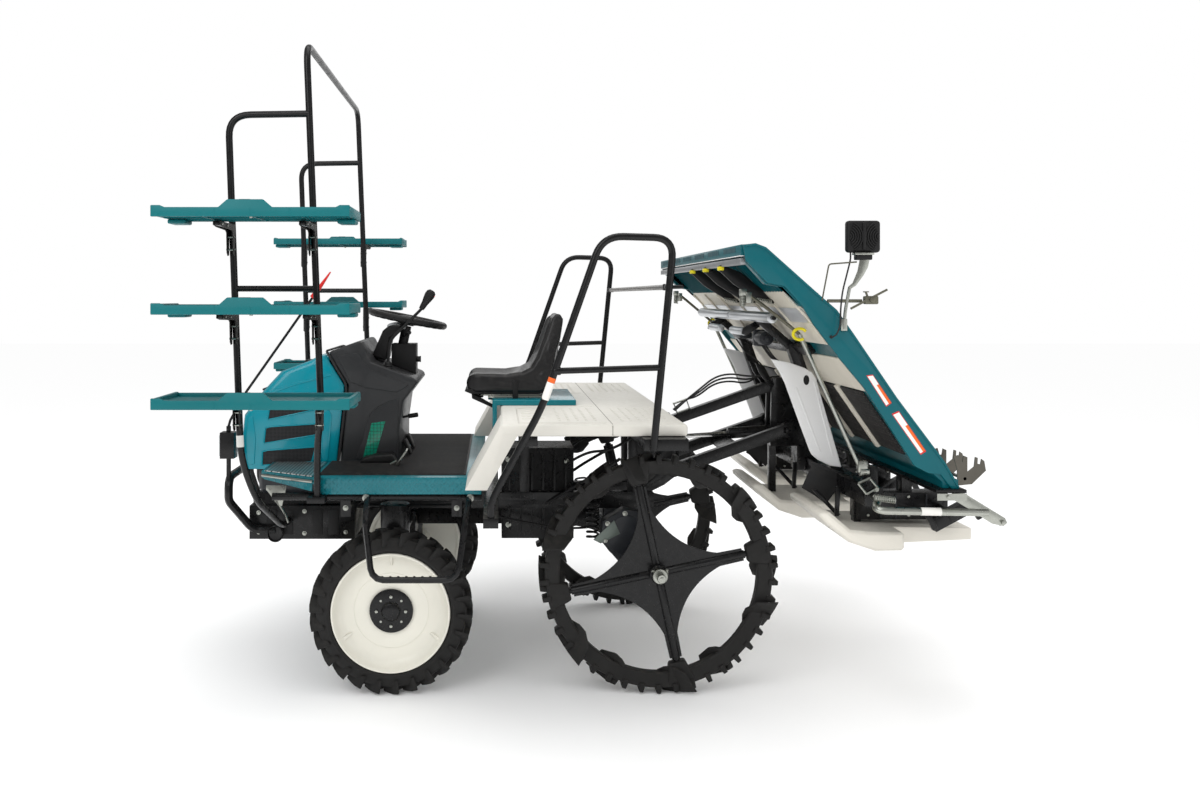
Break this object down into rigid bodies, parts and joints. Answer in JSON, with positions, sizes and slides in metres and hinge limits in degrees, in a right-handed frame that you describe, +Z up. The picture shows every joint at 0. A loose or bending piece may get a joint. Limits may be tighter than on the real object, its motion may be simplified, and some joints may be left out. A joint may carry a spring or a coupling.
{
  "type": "riding rice transplanter",
  "caption": "Ride-on rice transplanter: bladed mud wheels, spare seedling racks, seat, and a lifting rear unit with sloped seedling table, planting claws and floats.",
  "frame": {"origin": "on the ground under the middle of the whole box", "axes": "+X forward, +Y to the machine's left, +Z up"},
  "size_m": [3.06, 2.3, 2.5594],
  "materials": {
    "black_steel": "satin black paint",
    "dark_metal": "painted casting, dark blue-grey",
    "zinc": "zinc plated",
    "chrome": "hard chrome",
    "teal_paint": "gloss teal",
    "teal_plastic": "moulded teal, semi-gloss",
    "white_paint": "gloss off-white",
    "white_plastic": "moulded off-white",
    "grey_plastic": "textured charcoal",
    "black_plastic": "matt black",
    "black_vinyl": "moulded vinyl seat skin",
    "rubber": "matt hose rubber",
    "tyre": "matt black tread rubber"
  },
  "bodies": {
    "chassis": {"chassis_frame": "black_steel", "engine_block": "dark_metal", "front_axle": "black_steel", "rear_axle": "dark_metal", "floor_panel": "teal_paint", "step_loop_left": "black_steel", "step_loop_right": "black_steel", "rear_deck": "white_plastic", "seat_base": "teal_paint", "seat": "black_vinyl", "handrail_left": "black_steel", "handrail_right": "black_steel", "rail_cross_rod": "zinc", "rack_frame": "black_steel", "dash_cover": "grey_plastic", "steering_column": "grey_plastic", "control_lever": "black_plastic", "front_guard": "black_steel", "centre_marker": "black_plastic"},
    "bonnet": {"bonnet": "teal_paint"},
    "steering_wheel": {"steering_wheel": "black_plastic"},
    "lower_links": {"lower_links": "black_steel"},
    "upper_link": {"upper_link": "black_steel", "link_hoses": "rubber"},
    "planting_unit": {"planting_frame": "black_steel", "float_left": "white_plastic", "float_centre": "white_plastic", "float_right": "white_plastic", "row_guard_left": "zinc", "row_guard_right": "zinc", "cover_panel_left": "white_plastic", "cover_panel_right": "white_plastic"},
    "lift_barrel": {"lift_barrel": "black_steel"},
    "lift_rod": {"lift_rod": "chrome"},
    "seedling_table": {"seedling_table": "teal_paint", "work_light": "black_plastic", "light_cable": "rubber"},
    "knuckle_left": {"knuckle_left": "black_steel"},
    "front_wheel_left": {"front_tyre_left": "tyre", "front_rim_left": "white_paint"},
    "rear_wheel_left": {"rear_tyre_left": "tyre", "rear_spider_left": "black_steel"},
    "knuckle_right": {"knuckle_right": "black_steel"},
    "front_wheel_right": {"front_tyre_right": "tyre", "front_rim_right": "white_paint"},
    "rear_wheel_right": {"rear_tyre_right": "tyre", "rear_spider_right": "black_steel"},
    "rotor_centre": {"planting_rotor_centre": "black_steel"},
    "rotor_left": {"planting_rotor_left": "black_steel"},
    "rotor_right": {"planting_rotor_right": "black_steel"},
    "marker_left": {"marker_arm_left": "zinc"},
    "rack_low_left": {"seedling_rack_low_left": "teal_plastic"},
    "rack_mid_left": {"seedling_rack_mid_left": "teal_plastic"},
    "rack_top_left": {"seedling_rack_top_left": "teal_plastic"},
    "marker_right": {"marker_arm_right": "zinc"},
    "rack_low_right": {"seedling_rack_low_right": "teal_plastic"},
    "rack_mid_right": {"seedling_rack_mid_right": "teal_plastic"},
    "rack_top_right": {"seedling_rack_top_right": "teal_plastic"}
  },
  "joints": [
    {"name": "bonnet_tilt", "type": "hinge", "parent": "chassis", "child": "bonnet", "pos_m": [1.428, 0, 0.822], "axis": [0, 1, 0], "range_deg": [0, 60]},
    {"name": "steer_left", "type": "hinge", "parent": "chassis", "child": "knuckle_left", "pos_m": [0.75, 0.45, 0.325], "axis": [0, 0, 1], "range_deg": [-38, 38]},
    {"name": "front_wheel_left_spin", "type": "hinge", "parent": "knuckle_left", "child": "front_wheel_left", "pos_m": [0.75, 0.6, 0.325], "axis": [0, 1, 0], "continuous": true},
    {"name": "rear_wheel_left_spin", "type": "hinge", "parent": "chassis", "child": "rear_wheel_left", "pos_m": [-0.31, 0.6, 0.475], "axis": [0, 1, 0], "continuous": true},
    {"name": "steer_right", "type": "hinge", "parent": "chassis", "child": "knuckle_right", "pos_m": [0.75, -0.45, 0.325], "axis": [0, 0, 1], "range_deg": [-38, 38]},
    {"name": "front_wheel_right_spin", "type": "hinge", "parent": "knuckle_right", "child": "front_wheel_right", "pos_m": [0.75, -0.6, 0.325], "axis": [0, 1, 0], "continuous": true},
    {"name": "rear_wheel_right_spin", "type": "hinge", "parent": "chassis", "child": "rear_wheel_right", "pos_m": [-0.31, -0.6, 0.475], "axis": [0, 1, 0], "continuous": true},
    {"name": "steering_wheel_turn", "type": "hinge", "parent": "chassis", "child": "steering_wheel", "pos_m": [0.735, 0, 1.47], "axis": [-0.2011, 0, 0.9796], "range_deg": [-270, 270]},
    {"name": "lift", "type": "hinge", "parent": "chassis", "child": "lower_links", "pos_m": [-0.44, 0, 0.815], "axis": [0, 1, 0], "range_deg": [-57, 0]},
    {"name": "unit_level", "type": "hinge", "parent": "lower_links", "child": "planting_unit", "pos_m": [-0.938, 0, 0.991], "axis": [0, 1, 0], "range_deg": [0, 57]},
    {"name": "upper_link_swing", "type": "hinge", "parent": "chassis", "child": "upper_link", "pos_m": [-0.436, 0, 0.999], "axis": [0, 1, 0], "range_deg": [-57, 0]},
    {"name": "lift_barrel_swing", "type": "hinge", "parent": "planting_unit", "child": "lift_barrel", "pos_m": [-0.985, 0, 0.968], "axis": [0, 1, 0], "range_deg": [-46.7, 0]},
    {"name": "lift_rod_slide", "type": "slide", "parent": "lift_barrel", "child": "lift_rod", "axis": [0.9978, 0, -0.0659], "range_m": [0, 0.1]},
    {"name": "table_traverse", "type": "slide", "parent": "planting_unit", "child": "seedling_table", "axis": [0, 1, 0], "range_m": [-0.14, 0.14]},
    {"name": "rotor_centre_spin", "type": "hinge", "parent": "planting_unit", "child": "rotor_centre", "pos_m": [-1.41, 0, 0.735], "axis": [0, 1, 0], "continuous": true},
    {"name": "rotor_left_spin", "type": "hinge", "parent": "planting_unit", "child": "rotor_left", "pos_m": [-1.41, 0.6, 0.735], "axis": [0, 1, 0], "continuous": true},
    {"name": "rotor_right_spin", "type": "hinge", "parent": "planting_unit", "child": "rotor_right", "pos_m": [-1.41, -0.6, 0.735], "axis": [0, 1, 0], "continuous": true},
    {"name": "marker_left_swing", "type": "hinge", "parent": "planting_unit", "child": "marker_left", "pos_m": [-1.055, 0.79, 0.909], "axis": [-1, 0, 0], "range_deg": [0, 95]},
    {"name": "rack_low_left_fold", "type": "hinge", "parent": "chassis", "child": "rack_low_left", "pos_m": [0.84, 0.85, 1.18], "axis": [1, 0, 0], "range_deg": [0, 90]},
    {"name": "rack_mid_left_fold", "type": "hinge", "parent": "chassis", "child": "rack_mid_left", "pos_m": [0.84, 0.85, 1.51], "axis": [1, 0, 0], "range_deg": [0, 90]},
    {"name": "rack_top_left_fold", "type": "hinge", "parent": "chassis", "child": "rack_top_left", "pos_m": [0.84, 0.85, 1.85], "axis": [1, 0, 0], "range_deg": [0, 90]},
    {"name": "marker_right_swing", "type": "hinge", "parent": "planting_unit", "child": "marker_right", "pos_m": [-1.055, -0.79, 0.909], "axis": [1, 0, 0], "range_deg": [0, 95]},
    {"name": "rack_low_right_fold", "type": "hinge", "parent": "chassis", "child": "rack_low_right", "pos_m": [0.84, -0.85, 1.18], "axis": [-1, 0, 0], "range_deg": [0, 90]},
    {"name": "rack_mid_right_fold", "type": "hinge", "parent": "chassis", "child": "rack_mid_right", "pos_m": [0.84, -0.85, 1.51], "axis": [-1, 0, 0], "range_deg": [0, 90]},
    {"name": "rack_top_right_fold", "type": "hinge", "parent": "chassis", "child": "rack_top_right", "pos_m": [0.84, -0.85, 1.85], "axis": [-1, 0, 0], "range_deg": [0, 90]}
  ],
  "couplings": [
    {"joint": "steer_right", "follows": "steer_left", "ratio": 1},
    {"joint": "steering_wheel_turn", "follows": "steer_left", "ratio": 7},
    {"joint": "unit_level", "follows": "lift", "ratio": -1},
    {"joint": "upper_link_swing", "follows": "lift", "ratio": 1},
    {"joint": "lift_barrel_swing", "follows": "lift", "ratio": 0.81792},
    {"joint": "lift_rod_slide", "follows": "lift", "m_per_rad": -0.10048},
    {"joint": "rotor_left_spin", "follows": "rotor_centre_spin", "ratio": 1},
    {"joint": "rotor_right_spin", "follows": "rotor_centre_spin", "ratio": 1}
  ]
}
